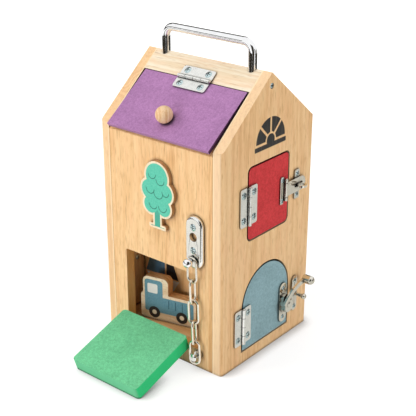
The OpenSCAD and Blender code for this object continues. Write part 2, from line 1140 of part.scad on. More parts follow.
module chain_anchor()
{
    lean = link_c * sin(chain_twist);
    head = chain_off + wire_d / 2 + lean + anchor_c;
    color([0.75, 0.76, 0.78])
        on_front(anchor_x, anchor_z) {
            cylinder(r = anchor_boss_r, h = chain_off - wire_d / 2 - lean - anchor_c);
            translate([0, 0, -shank_l])
                cylinder(r = shank_r, h = shank_l + eps);
            cylinder(r = neck_r, h = head + eps);
            translate([0, 0, head])
                dome(anchor_head_r, anchor_head_h);
        }
}

// Square door with its hasp

module square_door()
{
    color([0.82, 0.07, 0.1])
        difference() {
            on_side(square_cy, square_cz)
                translate([0, 0, -board_t])
                    linear_extrude(board_t)
                        rrect(square_y1 - square_y0, square_z1 - square_z0, square_r);
            square_hinge_place()
                leaf_pilots(1);
            at_hasp_screws()
                pilot(leaf_t);
        }
}

module square_hinge_fixed_leaf()
{
    color([0.75, 0.76, 0.78])
        square_hinge_place()
            fixed_leaf();
}

module square_hinge_moving_leaf()
{
    color([0.75, 0.76, 0.78])
        square_hinge_place()
            moving_leaf();
}

module square_hinge_pin()
{
    color([0.7, 0.71, 0.73])
        square_hinge_place()
            pin(hinge_h);
}

module square_hinge_moving_screws()
{
    color([0.72, 0.74, 0.77])
        square_hinge_place()
            leaf_screws(1);
}

module hasp_base()
{
    x0 = barrel_r + knuckle_gap;
    reach = x0 + 0.2;
    low = pin_z - barrel_r;
    inner = hasp_h / 2 + knuckle_gap;
    color([0.75, 0.76, 0.78])
        on_side(hasp_y, hasp_z)
            mirror([1, 0, 0]) {
                linear_extrude(leaf_t)
                    difference() {
                        translate([x0 + (hasp_base_w - x0) / 2, 0])
                            rrect(hasp_base_w - x0, hasp_base_h, 1.5);
                        for (s = [-1, 1])
                            translate([hasp_screw_off, s * hasp_screw_pitch / 2])
                                circle(shank_r + hole_c);
                    }
                knuckle(inner, inner + 4, reach, low, leaf_t);
                knuckle(-inner - 4, -inner, reach, low, leaf_t);
            }
}

module hasp_leaf()
{
    low = pin_z - leaf_t / 2;
    end_r = hasp_h / 2;
    x0 = barrel_r + knuckle_gap;
    color([0.75, 0.76, 0.78])
        on_side(hasp_y, hasp_z) {
            translate([0, 0, low])
                linear_extrude(leaf_t)
                    difference() {
                        union() {
                            translate([x0, -hasp_h / 2])
                                square([hasp_reach - end_r - x0, hasp_h]);
                            translate([hasp_reach - end_r, 0])
                                circle(end_r);
                        }
                        translate([slot_in + slot_w / 2, -slot_w / 2])
                            square([slot_out - slot_in - slot_w, slot_w]);
                        for (x = [slot_in + slot_w / 2, slot_out - slot_w / 2])
                            translate([x, 0])
                                circle(slot_w / 2);
                    }
            knuckle(-hasp_h / 2, hasp_h / 2, x0 + 0.2, low, low + leaf_t);
        }
}

module hasp_pin()
{
    color([0.7, 0.71, 0.73])
        on_side(hasp_y, hasp_z)
            pin(hasp_h + 2 * knuckle_gap + 8);
}

module hasp_base_screws()
{
    color([0.72, 0.74, 0.77])
        at_hasp_screws()
            translate([0, 0, leaf_t])
                screw();
}

module staple_plate()
{
    color([0.75, 0.76, 0.78])
        on_side(staple_y, hasp_z)
            linear_extrude(leaf_t)
                difference() {
                    rrect(staple_plate_w, staple_plate_h, 2);
                    circle(staple_neck_r + run_c);
                    for (s = [-1, 1])
                        translate([0, s * hasp_screw_pitch / 2])
                            circle(shank_r + hole_c);
                }
}

module swivel_staple()
{
    color([0.78, 0.79, 0.8])
        on_side(staple_y, hasp_z) {
            translate([0, 0, -0.3 - collar_t])
                cylinder(r = collar_r, h = collar_t);
            difference() {
                union() {
                    translate([0, 0, -0.3 - collar_t])
                        cylinder(r = staple_neck_r, h = staple_ring_off - staple_hole_r);
                    translate([0, staple_ring_t / 2, staple_ring_off])
                        rotate([90, 0, 0])
                            cylinder(r = staple_ring_r, h = staple_ring_t);
                }
                translate([0, staple_ring_t, staple_ring_off])
                    rotate([90, 0, 0])
                        cylinder(r = staple_hole_r, h = 2 * staple_ring_t);
            }
        }
}

// Arched door with its lever latch

module arch_door()
{
    color([0.36, 0.52, 0.6])
        difference() {
            on_side(arch_cy, arch_z0)
                translate([0, 0, -board_t])
                    linear_extrude(board_t)
                        arch_2d(2 * arch_rad, arch_z1 - arch_z0);
            arch_hinge_place()
                leaf_pilots(1);
            at_latch_screws()
                pilot(latch_base_t);
        }
}

module arch_hinge_fixed_leaf()
{
    color([0.75, 0.76, 0.78])
        arch_hinge_place()
            fixed_leaf();
}

module arch_hinge_moving_leaf()
{
    color([0.75, 0.76, 0.78])
        arch_hinge_place()
            moving_leaf();
}

module arch_hinge_pin()
{
    color([0.7, 0.71, 0.73])
        arch_hinge_place()
            pin(hinge_h);
}

module arch_hinge_moving_screws()
{
    color([0.72, 0.74, 0.77])
        arch_hinge_place()
            leaf_screws(1);
}

module latch_base()
{
    color([0.75, 0.76, 0.78])
        on_side(latch_y, latch_z)
            difference() {
                union() {
                    linear_extrude(latch_base_t)
                        obround(latch_base_w, latch_base_h);
                    linear_extrude(hub_top - 1.5)
                        obround(latch_base_w - 3, 2 * hub_r + 10);
                    cylinder(r = hub_r, h = hub_top);
                }
                for (s = [-1, 1])
                    translate([0, s * latch_screw, 0])
                        plate_hole();
                translate([0, 0, 1])
                    cylinder(r = rivet_r + hole_c, h = hub_top);
            }
}

module latch_base_screws()
{
    color([0.72, 0.74, 0.77])
        at_latch_screws()
            translate([0, 0, latch_base_t])
                screw();
}

// Where the arm leaves the disc, and a height above its whole bow
arm_start_x = -9;
arm_start_y = 2;
arm_far = 40;

module lever_2d()
{
    translate([lever_disc_x, lever_disc_y])
        circle(lever_disc_r);
    intersection() {
        translate([arm_cx, arm_cy])
            difference() {
                circle(arm_rad + arm_w / 2);
                circle(arm_rad - arm_w / 2);
            }
        polygon([[arm_start_x, arm_start_y], [arm_cx, arm_cy], [finger_x, arm_cy],
                 [finger_x, arm_far], [arm_start_x, arm_far]]);
    }
    translate([finger_x, finger_y])
        circle(finger_r - 0.4);
}

module latch_lever()
{
    color([0.77, 0.78, 0.8])
        on_side(latch_y, latch_z)
            difference() {
                union() {
                    translate([0, 0, lever_off])
                        linear_extrude(lever_t)
                            lever_2d();
                    translate([finger_x, finger_y, lever_off])
                        cylinder(r = finger_r, h = finger_l);
                    translate([finger_x, finger_y, lever_off + finger_l])
                        sphere(finger_r);
                }
                translate([0, 0, lever_off - 1])
                    cylinder(r = rivet_r + run_c, h = lever_t + 2);
            }
}

module latch_pivot()
{
    top = lever_off + lever_t + 0.15;
    color([0.72, 0.74, 0.77])
        on_side(latch_y, latch_z) {
            translate([0, 0, 1])
                cylinder(r = rivet_r, h = top - 1 + eps);
            translate([0, 0, top])
                dome(rivet_head_r, 1.2);
        }
}

module keeper()
{
    color([0.77, 0.78, 0.8])
        on_side(keeper_y, keeper_z) {
            linear_extrude(keeper_t)
                difference() {
                    obround(keeper_w, keeper_h);
                    for (s = [-1, 1])
                        translate([0, s * keeper_screw])
                            circle(shank_r + hole_c);
                }
            cylinder(r = post_r, h = post_ball_off);
            translate([0, 0, post_ball_off])
                sphere(post_ball_r);
        }
}

// Screws that stay with the house: hinge leaves, then chain plate, staple and keeper

module fixed_hinge_screws()
{
    color([0.72, 0.74, 0.77]) {
        lid_hinge_place()
            leaf_screws(-1);
        drop_hinge_place()
            leaf_screws(-1);
        square_hinge_place()
            leaf_screws(-1);
        arch_hinge_place()
            leaf_screws(-1);
    }
}

module plate_screws()
{
    color([0.72, 0.74, 0.77]) {
        at_chain_plate_screws()
            translate([0, 0, plate_t])
                screw(plate_head_r);
        at_staple_screws()
            translate([0, 0, leaf_t])
                screw();
        at_keeper_screws()
            translate([0, 0, keeper_t])
                screw();
    }
}

// Tree plaque on the front and the loose play block in the ground room

module plaque_2d()
{
    crown = plaque_w / 2;
    top = plaque_h - 0.37 * plaque_w;
    translate([0, top])
        circle(0.37 * plaque_w);
    for (s = [-1, 1]) {
        translate([s * (crown - 0.29 * plaque_w), 0.56 * plaque_h])
            circle(0.29 * plaque_w);
        translate([s * (crown - 0.31 * plaque_w), 0.34 * plaque_h])
            circle(0.25 * plaque_w);
    }
    translate([0, 0.5 * plaque_h])
        circle(0.3 * plaque_w);
    translate([-0.13 * plaque_w, 0])
        square([0.26 * plaque_w, 0.5 * plaque_h]);
    translate([0, 0.035 * plaque_h])
        rrect(0.5 * plaque_w, 0.07 * plaque_h, 0.025 * plaque_h);
}

module front_plaque()
{
    color([0.45, 0.76, 0.66])
        on_front(0, eave_h - plaque_drop)
            linear_extrude(plaque_t)
                plaque_2d();
}

module block_2d()
{
    translate([block_l / 2, 0.31 * block_h])
        rrect(block_l, 0.62 * block_h, 0.09 * block_h);
    translate([0.27 * block_l, 0.5 * block_h])
        rrect(0.46 * block_l, block_h, 0.12 * block_h);
}

module play_block()
{
    color([0.33, 0.6, 0.68])
        translate([block_x, block_y, base_t])
            rotate([0, 0, block_turn])
                translate([-block_l / 2, block_t / 2, 0])
                    rotate([90, 0, 0])
                        linear_extrude(block_t)
                            block_2d();
}

left_gable();
right_gable();
front_panel();
back_panel();
base_board();
lower_floor();
upper_floor();
inner_wall();
ridge_beam();
rear_roof_panel();
gable_screws();
carry_handle();
handle_screws();
roof_lid();
lid_knob();
knob_screw();
lid_hinge_fixed_leaf();
lid_hinge_moving_leaf();
lid_hinge_pin();
lid_hinge_moving_screws();
drop_door();
drop_hinge_fixed_leaf();
drop_hinge_moving_leaf();
drop_hinge_pin();
drop_hinge_moving_screws();
chain_plate();
chain_stud();
chain_link_1();
chain_link_2();
chain_link_3();
chain_link_4();
chain_link_5();
chain_anchor();
square_door();
square_hinge_fixed_leaf();
square_hinge_moving_leaf();
square_hinge_pin();
square_hinge_moving_screws();
hasp_base();
hasp_leaf();
hasp_pin();
hasp_base_screws();
staple_plate();
swivel_staple();
arch_door();
arch_hinge_fixed_leaf();
arch_hinge_moving_leaf();
arch_hinge_pin();
arch_hinge_moving_screws();
latch_base();
latch_base_screws();
latch_lever();
latch_pivot();
keeper();
fixed_hinge_screws();
plate_screws();
front_plaque();
play_block();
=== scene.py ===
import json
import math

import bpy
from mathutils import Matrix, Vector


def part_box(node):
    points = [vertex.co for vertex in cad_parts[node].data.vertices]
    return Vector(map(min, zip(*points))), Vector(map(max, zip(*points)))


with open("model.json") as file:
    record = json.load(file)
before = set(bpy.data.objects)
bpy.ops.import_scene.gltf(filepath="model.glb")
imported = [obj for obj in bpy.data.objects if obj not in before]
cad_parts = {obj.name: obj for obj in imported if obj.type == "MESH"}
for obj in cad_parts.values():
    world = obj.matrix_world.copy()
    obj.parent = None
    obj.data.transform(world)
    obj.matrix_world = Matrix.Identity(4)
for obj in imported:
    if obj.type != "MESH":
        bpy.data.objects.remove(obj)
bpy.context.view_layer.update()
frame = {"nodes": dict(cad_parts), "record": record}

nodes = frame["nodes"]
MM = 0.001

# Camera: the photograph's place and lens

CAMERA_AT = Vector((0.640568, -0.778168, 0.588900))
CAMERA_LOOKS_AT = Vector((-0.000113, -0.000093, 0.148692))
LENS = 84.976
SENSOR = 36.0

camera_data = bpy.data.cameras.new("camera")
camera_data.lens = LENS
camera_data.sensor_width = SENSOR
camera = bpy.data.objects.new("camera", camera_data)
camera.location = CAMERA_AT
camera.rotation_euler = (CAMERA_LOOKS_AT - CAMERA_AT).to_track_quat("-Z", "Y").to_euler()
bpy.context.scene.collection.objects.link(camera)
bpy.context.scene.camera = camera
bpy.context.scene.view_settings.view_transform = "Standard"


# Node graphs

def srgb(r, g, b):
    """A colour as seen on screen, 0 to 255, as a linear one."""
    def one(c):
        c /= 255
        return c / 12.92 if c <= 0.04045 else ((c + 0.055) / 1.055) ** 2.4
    return (one(r), one(g), one(b), 1.0)


def scaled(colour, by, lift=0.0):
    """A lighter or darker copy of a colour."""
    return tuple(min(1.0, c * by + lift) for c in colour[:3]) + (1.0,)


CREVICE_SAMPLES = 6


class Graph:
    """A material and the few kinds of node that the looks are made of."""

    def __init__(self, name):
        self.material = bpy.data.materials.new(name)
        self.material.use_nodes = True
        self.tree = self.material.node_tree
        self.tree.nodes.clear()
        self.shader = self.tree.nodes.new("ShaderNodeBsdfPrincipled")
        output = self.tree.nodes.new("ShaderNodeOutputMaterial")
        self.tree.links.new(self.shader.outputs[0], output.inputs["Surface"])
        self.place = self.tree.nodes.new("ShaderNodeTexCoord")

    def put(self, value, socket):
        if isinstance(value, bpy.types.NodeSocket):
            self.tree.links.new(value, socket)
        else:
            socket.default_value = value

    def set(self, name, value):
        self.put(value, self.shader.inputs[name])

    def math(self, operation, a, b=0.0, c=0.0):
        n = self.tree.nodes.new("ShaderNodeMath")
        n.operation = operation
        for value, socket in zip((a, b, c), n.inputs):
            self.put(value, socket)
        return n.outputs[0]

    def add(self, a, b):
        return self.math("ADD", a, b)

    def times(self, a, b):
        return self.math("MULTIPLY", a, b)

    def mad(self, a, b, c):
        return self.math("MULTIPLY_ADD", a, b, c)

    def split(self, vector):
        n = self.tree.nodes.new("ShaderNodeSeparateXYZ")
        self.put(vector, n.inputs[0])
        return n.outputs[0], n.outputs[1], n.outputs[2]

    def join(self, x, y, z):
        n = self.tree.nodes.new("ShaderNodeCombineXYZ")
        for value, socket in zip((x, y, z), n.inputs):
            self.put(value, socket)
        return n.outputs[0]

    def stretch(self, vector, scale):
        n = self.tree.nodes.new("ShaderNodeVectorMath")
        n.operation = "MULTIPLY"
        self.put(vector, n.inputs[0])
        n.inputs[1].default_value = scale
        return n.outputs[0]

    def dot(self, vector, direction):
        n = self.tree.nodes.new("ShaderNodeVectorMath")
        n.operation = "DOT_PRODUCT"
        self.put(vector, n.inputs[0])
        n.inputs[1].default_value = direction
        return n.outputs["Value"]

    def noise(self, vector, scale, detail=2.0, roughness=0.5, distortion=0.0):
        n = self.tree.nodes.new("ShaderNodeTexNoise")
        self.put(vector, n.inputs["Vector"])
        n.inputs["Scale"].default_value = scale
        n.inputs["Detail"].default_value = detail
        n.inputs["Roughness"].default_value = roughness
        n.inputs["Distortion"].default_value = distortion
        return n.outputs[0]

    def chance(self, w):
        n = self.tree.nodes.new("ShaderNodeTexWhiteNoise")
        n.noise_dimensions = "1D"
        self.put(w, n.inputs["W"])
        return n.outputs["Value"]

    def span(self, value, low, high, out_low=0.0, out_high=1.0):
        n = self.tree.nodes.new("ShaderNodeMapRange")
        n.clamp = True
        for v, name in zip((value, low, high, out_low, out_high),
                           ("Value", "From Min", "From Max", "To Min", "To Max")):
            self.put(v, n.inputs[name])
        return n.outputs["Result"]

    def mix(self, factor, a, b):
        n = self.tree.nodes.new("ShaderNodeMix")
        n.data_type = "RGBA"
        self.put(factor, n.inputs["Factor"])
        colours = {s.name: s for s in n.inputs if s.type == "RGBA"}
        self.put(a, colours["A"])
        self.put(b, colours["B"])
        return [s for s in n.outputs if s.type == "RGBA"][0]

    def bump(self, height, strength, distance):
        n = self.tree.nodes.new("ShaderNodeBump")
        n.inputs["Strength"].default_value = strength
        n.inputs["Distance"].default_value = distance
        self.put(height, n.inputs["Height"])
        self.put(n.outputs[0], self.shader.inputs["Normal"])

    def crevice(self, reach):
        """1 on open faces, less in gaps and corners nearer than reach."""
        n = self.tree.nodes.new("ShaderNodeAmbientOcclusion")
        n.samples = CREVICE_SAMPLES
        n.inputs["Distance"].default_value = reach
        return n.outputs["AO"]

    # Flat figures for printed pictures: distances in metres, below nought inside

    def disc(self, x, z, cx, cz, r):
        dx = self.add(x, -cx)
        dz = self.add(z, -cz)
        length = self.math("SQRT", self.mad(dx, dx, self.times(dz, dz)))
        return self.add(length, -r)

    def block(self, x, z, cx, cz, half_x, half_z, r=0.0):
        dx = self.add(self.math("ABSOLUTE", self.add(x, -cx)), r - half_x)
        dz = self.add(self.math("ABSOLUTE", self.add(z, -cz)), r - half_z)
        ox = self.math("MAXIMUM", dx, 0.0)
        oz = self.math("MAXIMUM", dz, 0.0)
        outside = self.math("SQRT", self.mad(ox, ox, self.times(oz, oz)))
        inside = self.math("MINIMUM", self.math("MAXIMUM", dx, dz), 0.0)
        return self.add(self.add(outside, inside), -r)

    def half(self, x, z, px, pz, nx, nz):
        """The side of a line through (px, pz) that (nx, nz) points away from."""
        length = math.hypot(nx, nz)
        nx, nz = nx / length, nz / length
        return self.add(self.mad(x, nx, -px * nx - pz * nz), self.times(z, nz))

    def union(self, *figures):
        joined = figures[0]
        for f in figures[1:]:
            joined = self.math("MINIMUM", joined, f)
        return joined

    def both(self, *figures):
        joined = figures[0]
        for f in figures[1:]:
            joined = self.math("MAXIMUM", joined, f)
        return joined

    def less(self, figure, cut):
        return self.math("MAXIMUM", figure, self.times(cut, -1.0))

    def ink(self, figure, blur=0.25 * MM):
        """1 inside the figure and 0 outside, over a short step."""
        return self.span(figure, blur, -blur)


# Wood: pale, straight-grained and clear-lacquered, in strips glued edge to edge

WOOD_PALE = srgb(245, 207, 155)
WOOD_MID = srgb(231, 185, 129)
WOOD_DARK = srgb(205, 152, 96)
WOOD_PORE = srgb(166, 114, 68)
# Painted shade, laid into the gaps and corners of the wood
WOOD_PAINTED_SHADE = srgb(66, 38, 18)
WOOD_EDGE = srgb(240, 213, 180)
WOOD_WARM = srgb(238, 182, 132)
WOOD_ARRIS = srgb(254, 234, 198)
WOOD_JAMB_PAINTED_SHADE = srgb(224, 158, 72)
# How far from a face the painted shade of gaps and corners reaches
PAINTED_SHADE_REACH = 4.0 * MM
STRIP = 44 * MM
PANEL_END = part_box("front_panel")[1].x
X, Y, Z = 0, 1, 2
RIGHT = (1.0, 0.0, 0.0)
BACK = (0.0, 1.0, 0.0)
FRONT = (0.0, -1.0, 0.0)

# Waves of the grain's noises to a metre: twice across the grain, then along it
BROAD_WAVES = (26, 26, 5)
BOW_WAVES = (30, 30, 1.5)
FIBRE_WAVES = (600, 600, 30)
PORE_WAVES = (1150, 1150, 60)
FLECK_WAVES = (400, 400, 75)
WARM_WAVES = (90, 90, 22)

# What each part of the grain adds to its tone, and how strongly the marks show on it
BROAD_SHARE = 0.40
RING_SHARE = 0.17
FIBRE_SHARE = 0.42
STRIP_SHARE = 0.20
WARM_SHARE = 0.34
FLECK_SHARE = 0.56
PORE_SHARE = 0.42

RING_RADIANS = 74.0
SEED_SPREAD = 7.31
STRIP_SHIFT_ACROSS = 0.41
STRIP_SHIFT_ALONG = 1.7
LACQUER_ROUGH = 0.43
PRINT_ROUGH = 0.5

# Joint of the gables with the panels: a pale arris on one side, a dark patchy line on the other
ARRIS_OUT = 1.7 * MM
ARRIS_IN = 0.8 * MM
ARRIS_SHARE = 0.6
JOINT_FROM = 1.0 * MM
JOINT_FULL = 0.4 * MM
JOINT_WAVES = (1.0, 1.0, 45.0)
JAMB_PAINTED_SHADE_SHARE = 0.6
LEFT_EDGE_SHARE = 0.25
RIGHT_EDGE_SHARE = 0.5


def wood_colour(g, along, across, seed, strip=STRIP, pale=WOOD_PALE, mid=WOOD_MID, dark=WOOD_DARK):
    """Colour and height of the grain. along and across are 0, 1 or 2, for X, Y or Z."""
    axes = g.split(g.place.outputs["Object"])
    u = axes[across]
    v = axes[along]
    t = axes[3 - along - across]
    board = g.math("FLOOR", g.mad(u, 1 / strip, seed + 0.5))
    luck = g.chance(g.add(board, seed * SEED_SPREAD))
    vector = g.join(g.mad(luck, STRIP_SHIFT_ACROSS, u), g.add(t, seed), g.mad(luck, STRIP_SHIFT_ALONG, v))
    broad = g.noise(g.stretch(vector, BROAD_WAVES), 1.0, 3.0)
    bow = g.noise(g.stretch(vector, BOW_WAVES), 1.0, 1.0, 0.4, 0.3)
    rings = g.mad(g.math("SINE", g.times(bow, RING_RADIANS)), 0.5, 0.5)
    fibre = g.noise(g.stretch(vector, FIBRE_WAVES), 1.0, 3.0, 0.6)
    dash = g.noise(g.stretch(vector, PORE_WAVES), 1.0, 1.0, 0.5)
    pore = g.span(dash, 0.62, 0.72)
    fleck = g.span(g.noise(g.stretch(vector, FLECK_WAVES), 1.0, 2.0, 0.6), 0.54, 0.74)
    warm = g.span(g.noise(g.stretch(vector, WARM_WAVES), 1.0, 3.0, 0.6), 0.46, 0.7)
    tone = g.add(g.times(broad, BROAD_SHARE), g.times(rings, RING_SHARE))
    tone = g.add(tone, g.times(fibre, FIBRE_SHARE))
    tone = g.mad(luck, STRIP_SHARE, tone)
    colour = g.mix(g.span(tone, 0.30, 0.66), pale, mid)
    colour = g.mix(g.span(tone, 0.60, 0.86), colour, dark)
    colour = g.mix(g.times(warm, WARM_SHARE), colour, WOOD_WARM)
    colour = g.mix(g.times(fleck, FLECK_SHARE), colour, dark)
    colour = g.mix(g.times(pore, PORE_SHARE), colour, WOOD_PORE)
    # Painted shade: the grain darkens in gaps and corners that nearby parts crowd
    colour = g.mix(g.span(g.crevice(PAINTED_SHADE_REACH), 0.45, 0.92, 0.92, 0.0), colour, WOOD_PAINTED_SHADE)
    height = g.add(g.times(fibre, 0.6), g.times(pore, -0.55))
    return colour, height, fibre


def finish_wood(g, colour, height, fibre, rough=LACQUER_ROUGH):
    g.set("Base Color", colour)
    g.set("Roughness", g.span(fibre, 0.3, 0.7, rough - 0.05, rough + 0.09))
    g.set("Specular IOR Level", 0.42)
    g.bump(height, 0.22, 0.25 * MM)
    return g.material


def gable_edge(g, colour, share):
    """Paler wood on the gables' narrow faces, and a pale arris along the joint with the panels."""
    side = g.math("ABSOLUTE", g.dot(g.place.outputs["Normal"], RIGHT))
    narrow = g.span(side, 0.7, 0.3)
    colour = g.mix(g.times(narrow, share), colour, WOOD_EDGE)
    far = g.math("ABSOLUTE", g.split(g.place.outputs["Object"])[0])
    arris = g.times(g.span(far, PANEL_END + ARRIS_OUT, PANEL_END + ARRIS_IN), narrow)
    return g.mix(g.times(arris, ARRIS_SHARE), colour, WOOD_ARRIS)


def panel_wood(name, seed):
    """Wood of the front and back, with a dark joint line at both ends and a warm brown painted shade on the
    cut edges.
    """
    g = Graph(name)
    colour, height, fibre = wood_colour(g, Z, X, seed)
    place = g.place.outputs["Object"]
    far = g.math("ABSOLUTE", g.split(place)[0])
    line = g.span(far, PANEL_END - JOINT_FROM, PANEL_END - JOINT_FULL)
    patchy = g.span(g.noise(g.stretch(place, JOINT_WAVES), 1.0, 2.0), 0.35, 0.65, 0.3, 0.9)
    colour = g.mix(g.times(line, patchy), colour, WOOD_PORE)
    # Painted shade: the cut faces, the jambs of the opening among them, turn a warm shaded brown
    flat = g.math("ABSOLUTE", g.dot(g.place.outputs["Normal"], BACK))
    colour = g.mix(g.span(flat, 0.5, 0.3, 0.0, JAMB_PAINTED_SHADE_SHARE), colour, WOOD_JAMB_PAINTED_SHADE)
    return finish_wood(g, colour, height, fibre)


def wood(name, along, across, seed, **more):
    g = Graph(name)
    return finish_wood(g, *wood_colour(g, along, across, seed, **more))


# Dyed fibre board: mottled, matt, another tone on the cut edges

CLOUD_WAVES = 40.0
SPECK_WAVES = 900.0
FLUFF_WAVES = 340.0
CLOUD_SHARE = 0.26
SPECK_SHARE = 0.52
FLUFF_SHARE = 0.42
RIM_WEAR_AND_HIGHLIGHT_SHARE = 0.85


def dyed(name, face, edge, normal, seed, side=None):
    """Board whose broad face looks along normal. side, if given, colours its left and right edges."""
    g = Graph(name)
    p = g.place.outputs["Object"]
    cloud = g.noise(p, CLOUD_WAVES + seed, 3.0, 0.55)
    speck = g.noise(p, SPECK_WAVES + seed, 3.0, 0.65)
    fluff = g.noise(p, FLUFF_WAVES + seed, 2.0, 0.6, 0.6)
    pale = scaled(face, 1.2, 0.02)
    deep = scaled(face, 0.76)
    tone = g.add(g.times(cloud, CLOUD_SHARE), g.times(speck, SPECK_SHARE))
    tone = g.add(tone, g.times(fluff, FLUFF_SHARE))
    colour = g.mix(g.span(tone, 0.44, 0.76), deep, pale)
    flat = g.math("ABSOLUTE", g.dot(g.place.outputs["Normal"], normal))
    rim = g.mix(g.times(speck, 0.5), edge, face)
    if side:
        flank = g.math("ABSOLUTE", g.dot(g.place.outputs["Normal"], RIGHT))
        rim = g.mix(g.span(flank, 0.5, 0.9), rim, side)
    colour = g.mix(g.span(flat, 0.45, 0.85), rim, colour)
    # Paler rounded rims: dye rubbed thin, and also a painted highlight along the edges
    worn = g.times(g.span(flat, 0.3, 0.6), g.span(flat, 0.98, 0.9))
    worn = g.times(worn, g.span(fluff, 0.3, 0.5))
    colour = g.mix(g.times(worn, RIM_WEAR_AND_HIGHLIGHT_SHARE), colour, pale)
    # Painted shade: a near-black copy of the edge colour laid into gaps and corners
    gap = scaled(edge, 0.14)
    colour = g.mix(g.span(g.crevice(PAINTED_SHADE_REACH), 0.45, 0.88, 0.94, 0.0), colour, gap)
    g.set("Base Color", colour)
    g.set("Roughness", g.span(speck, 0.3, 0.7, 0.66, 0.8))
    g.set("Specular IOR Level", 0.3)
    g.bump(g.add(speck, g.times(fluff, 0.5)), 0.16, 0.2 * MM)
    return g.material


# Metals

TARNISH_WAVES = 130.0
RUB_WAVES = (2400.0, 2100.0, 160.0)


def metal(name, tint, rough, spread, scratch, seed, reach=2.2 * MM, clear=0.86):
    """Plated metal: cloudy polish, faint rubbing marks, and painted shade in the gaps nearer than reach."""
    g = Graph(name)
    p = g.place.outputs["Object"]
    cloud = g.noise(p, TARNISH_WAVES + seed, 3.0, 0.55)
    rub = g.noise(g.stretch(p, RUB_WAVES), 1.0, 2.0, 0.6)
    film = scaled(tint, 0.93)
    painted_gap_shade = scaled(tint, 0.06)
    colour = g.mix(g.span(cloud, 0.35, 0.7), tint, film)
    # Painted shade: the metal darkens almost to black in gaps and corners
    colour = g.mix(g.span(g.crevice(reach), 0.45, clear, 0.95, 0.0), colour, painted_gap_shade)
    g.set("Base Color", colour)
    g.set("Metallic", 1.0)
    g.set("Roughness", g.span(g.add(g.times(cloud, 0.6), g.times(rub, 0.4)), 0.3, 0.7,
                              rough - spread, rough + spread))
    g.bump(rub, scratch, 0.05 * MM)
    return g.material


NICKEL = srgb(242, 242, 238)
ZINC = srgb(204, 222, 224)
CHROME = srgb(250, 251, 252)
WIRE = srgb(240, 235, 222)
STEEL = srgb(230, 225, 213)

plated = metal("nickel_plated_steel", NICKEL, rough=0.2, spread=0.07, scratch=0.10, seed=0.0,
               reach=2.8 * MM, clear=0.9)
zinc = metal("zinc_screw", ZINC, rough=0.16, spread=0.06, scratch=0.10, seed=3.0,
             reach=3.4 * MM, clear=0.96)
chrome = metal("polished_chrome", CHROME, rough=0.06, spread=0.025, scratch=0.03, seed=5.0)
chain = metal("bright_nickel_wire", WIRE, rough=0.13, spread=0.05, scratch=0.06, seed=8.0)
lock_steel = metal("lock_steel", STEEL, rough=0.12, spread=0.05, scratch=0.08, seed=12.0,
                   reach=4.5 * MM, clear=0.96)


# Wooden shell

house_front = panel_wood("wood_front", 2.0)
house_back = panel_wood("wood_back", 5.0)


def left_gable_wood():
    g = Graph("wood_left")
    colour, height, fibre = wood_colour(g, Z, Y, 8.0)
    return finish_wood(g, gable_edge(g, colour, LEFT_EDGE_SHARE), height, fibre)


left_wood = left_gable_wood()
beam_wood = wood("wood_beam", X, Y, 11.0, strip=60 * MM, pale=srgb(243, 233, 214), mid=srgb(239, 224, 199),
                 dark=srgb(228, 204, 168))
floor_wood = wood("wood_floor", X, Y, 14.0)
roof_wood = wood("wood_roof", X, Y, 17.0)
knob_wood = wood("wood_knob", Z, X, 20.0, strip=90 * MM, pale=srgb(239, 211, 175), mid=srgb(230, 196, 155))


# Right gable: a fan-light window printed in black under the ridge

def gable_wood():
    g = Graph("wood_right")
    colour, height, fibre = wood_colour(g, Z, Y, 23.0)
    _, y, z = g.split(g.place.outputs["Object"])
    cy, cz = 0.0, 248.5 * MM
    r_out, bar = 25.0 * MM, 1.3 * MM
    fan = g.both(g.disc(y, z, cy, cz, r_out), g.add(g.times(z, -1.0), cz))
    hub = g.disc(y, z, cy, cz, 7.0 * MM)
    figure = g.union(g.less(fan, g.add(g.math("ABSOLUTE", g.add(hub, -0.6 * MM)), -bar)), hub)
    dy = g.add(y, -cy)
    dz = g.add(z, -cz)
    for k in range(1, 4):
        a = math.pi * k / 4
        side = g.math("ABSOLUTE", g.add(g.times(dy, math.sin(a)), g.times(dz, -math.cos(a))))
        far = g.math("MAXIMUM", g.add(side, -bar), g.times(hub, -1.0))
        figure = g.less(figure, far)
    sill = g.block(y, z, cy, cz - 5.2 * MM, r_out + 2.0 * MM, 2.6 * MM, 1.0 * MM)
    figure = g.union(figure, sill)
    colour = gable_edge(g, colour, RIGHT_EDGE_SHARE)
    outer = g.span(g.dot(g.place.outputs["Normal"], RIGHT), 0.6, 0.8)
    worn = g.span(fibre, 0.3, 0.42, 0.86, 1.0)
    ink = g.times(g.times(g.ink(figure), outer), worn)
    colour = g.mix(ink, colour, srgb(40, 38, 38))
    return finish_wood(g, colour, height, fibre)


right_wood = gable_wood()


# Inner wall: a small sailing boat, slate and black sails on a white hull

